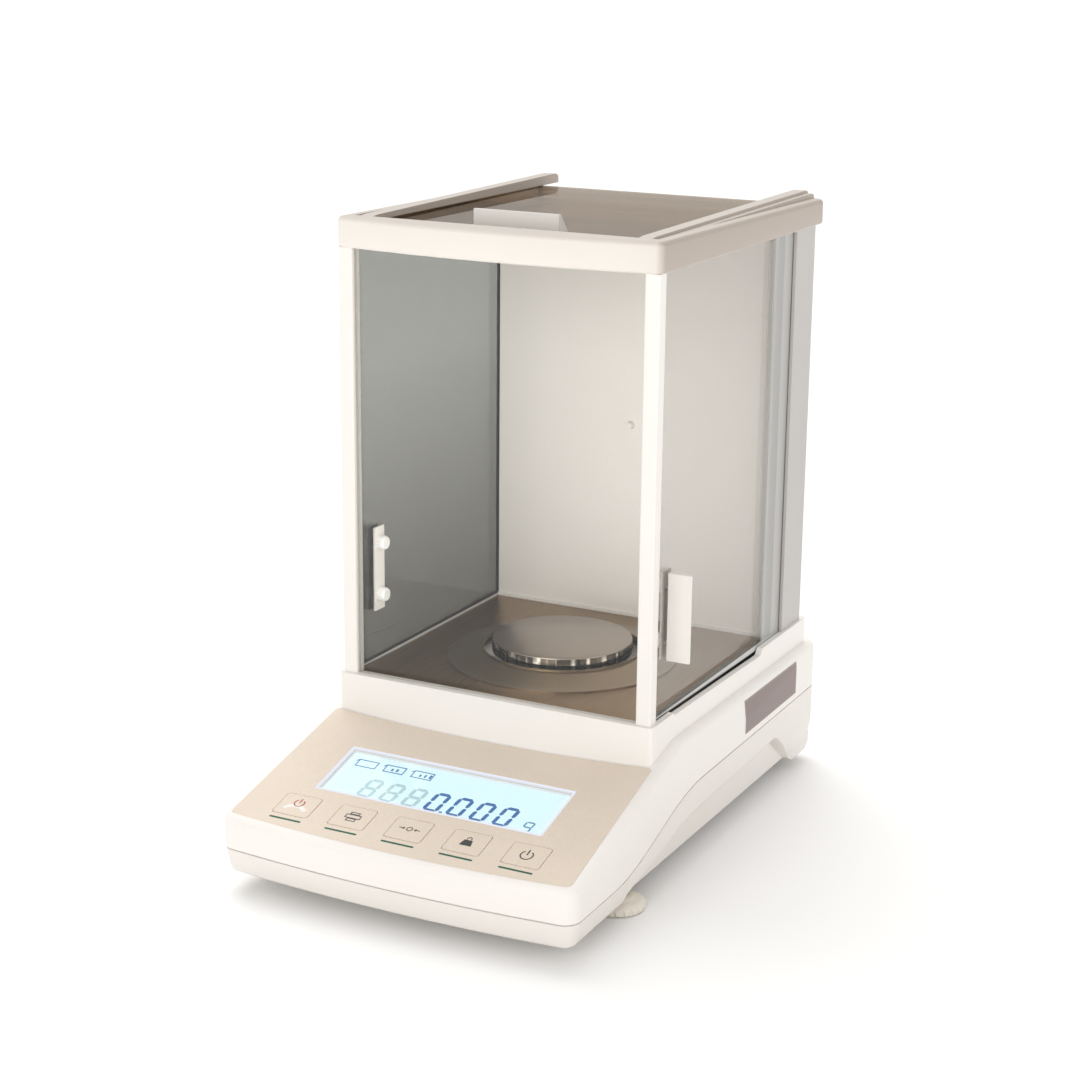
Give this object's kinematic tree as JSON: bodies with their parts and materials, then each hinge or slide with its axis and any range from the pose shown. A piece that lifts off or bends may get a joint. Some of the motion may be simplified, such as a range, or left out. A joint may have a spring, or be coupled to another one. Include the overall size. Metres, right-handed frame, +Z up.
{
  "type": "precision balance",
  "caption": "Bench balance with a round pan inside a glass draft shield, sliding side and top doors, a sloping console with display and keys, and levelling wheels.",
  "frame": {"origin": "centre of the bounding box in plan, on the bench", "axes": "+X to the right seen from the console, +Y to the rear, +Z up"},
  "size_m": [0.209, 0.3426, 0.3491],
  "materials": {
    "shell": "warm white moulding",
    "film": "fine textured film",
    "glass": "clear",
    "steel": "brushed",
    "screws": "plated",
    "display": "backlit",
    "board": "circuit board",
    "dark_plastic": "black",
    "cell": "machined",
    "iron": "dark",
    "copper": "wound wire",
    "socket": "plated shell",
    "rubber": "black",
    "brass": "turned",
    "strip": "grey",
    "nylon": "nylon",
    "wheel": "cream"
  },
  "bodies": {
    "base": {"lower_housing": "shell", "upper_housing": "shell", "cap_frame": "shell", "front_left_post": "shell", "front_right_post": "shell", "rear_left_post": "shell", "rear_right_post": "shell", "rear_left_cover": "shell", "rear_right_cover": "shell", "rear_wall": "shell", "back_panel": "shell", "wall_plug": "shell", "panel_film": "film", "display_window": "glass", "front_pane": "glass", "chamber_floor": "steel", "case_screws": "screws", "shield_screws": "screws", "display_module": "display", "display_board": "board", "main_board": "board", "key_switches": "dark_plastic", "power_jack": "dark_plastic", "cell_frame": "cell", "guide_arms": "cell", "magnet_pot": "iron", "serial_port": "socket", "rear_feet": "rubber", "foot_inserts": "brass"},
    "left_door": {"left_door_pane": "glass", "left_door_runner": "strip", "left_door_edge": "strip", "left_door_grip": "shell", "left_door_backing": "shell", "left_door_nuts": "nylon"},
    "right_door": {"right_door_pane": "glass", "right_door_runner": "strip", "right_door_edge": "strip", "right_door_grip": "shell", "right_door_backing": "shell", "right_door_nuts": "nylon"},
    "top_door": {"top_door_pane": "glass", "top_door_grip": "shell"},
    "ring": {"draft_ring": "steel"},
    "carrier": {"pan_carrier": "cell"},
    "lever": {"lever_beam": "cell", "coil": "copper"},
    "pan": {"weighing_pan": "steel"},
    "left_pad": {"left_foot_pad": "rubber"},
    "left_wheel": {"left_foot_wheel": "wheel"},
    "right_pad": {"right_foot_pad": "rubber"},
    "right_wheel": {"right_foot_wheel": "wheel"},
    "key_1_body": {"key_1": "film"},
    "key_2_body": {"key_2": "film"},
    "key_3_body": {"key_3": "film"},
    "key_4_body": {"key_4": "film"},
    "key_5_body": {"key_5": "film"}
  },
  "joints": [
    {"name": "left_door_slide", "type": "slide", "parent": "base", "child": "left_door", "axis": [0, 1, 0], "range_m": [0, 0.135]},
    {"name": "right_door_slide", "type": "slide", "parent": "base", "child": "right_door", "axis": [0, 1, 0], "range_m": [0, 0.135]},
    {"name": "top_door_slide", "type": "slide", "parent": "base", "child": "top_door", "axis": [0, 1, 0], "range_m": [0, 0.15]},
    {"name": "ring_lift", "type": "slide", "parent": "base", "child": "ring", "axis": [0, 0, 1], "range_m": [0, 0.03]},
    {"name": "carrier_slide", "type": "slide", "parent": "base", "child": "carrier", "axis": [0, 0, 1], "range_m": [-0.0003, 0], "stiffness_N_per_m": 1500, "springref_m": 0.0012},
    {"name": "lever_turn", "type": "hinge", "parent": "base", "child": "lever", "pos_m": [0, 0.04725, 0.051], "axis": [1, 0, 0], "range_deg": [0, 1.92]},
    {"name": "pan_lift", "type": "slide", "parent": "carrier", "child": "pan", "axis": [0, 0, 1], "range_m": [0, 0.03]},
    {"name": "key_1_press", "type": "slide", "parent": "base", "child": "key_1_body", "axis": [0, 0.2538, -0.9673], "range_m": [0, 0.0005], "stiffness_N_per_m": 400, "springref_m": -0.002},
    {"name": "key_2_press", "type": "slide", "parent": "base", "child": "key_2_body", "axis": [0, 0.2538, -0.9673], "range_m": [0, 0.0005], "stiffness_N_per_m": 400, "springref_m": -0.002},
    {"name": "key_3_press", "type": "slide", "parent": "base", "child": "key_3_body", "axis": [0, 0.2538, -0.9673], "range_m": [0, 0.0005], "stiffness_N_per_m": 400, "springref_m": -0.002},
    {"name": "key_4_press", "type": "slide", "parent": "base", "child": "key_4_body", "axis": [0, 0.2538, -0.9673], "range_m": [0, 0.0005], "stiffness_N_per_m": 400, "springref_m": -0.002},
    {"name": "key_5_press", "type": "slide", "parent": "base", "child": "key_5_body", "axis": [0, 0.2538, -0.9673], "range_m": [0, 0.0005], "stiffness_N_per_m": 400, "springref_m": -0.002},
    {"name": "left_foot_travel", "type": "slide", "parent": "base", "child": "left_pad", "axis": [0, 0, 1], "range_m": [-0.002, 0.002]},
    {"name": "left_foot_turn", "type": "hinge", "parent": "left_pad", "child": "left_wheel", "pos_m": [-0.0895, -0.08575, 0.004], "axis": [0, 0, 1], "range_deg": [-721, 721]},
    {"name": "right_foot_travel", "type": "slide", "parent": "base", "child": "right_pad", "axis": [0, 0, 1], "range_m": [-0.002, 0.002]},
    {"name": "right_foot_turn", "type": "hinge", "parent": "right_pad", "child": "right_wheel", "pos_m": [0.0895, -0.08575, 0.004], "axis": [0, 0, 1], "range_deg": [-721, 721]}
  ],
  "couplings": [
    {"joint": "lever_turn", "follows": "carrier_slide", "rad_per_m": -111.11},
    {"joint": "left_foot_turn", "follows": "left_foot_travel", "rad_per_m": 6283.2},
    {"joint": "right_foot_turn", "follows": "right_foot_travel", "rad_per_m": 6283.2}
  ]
}
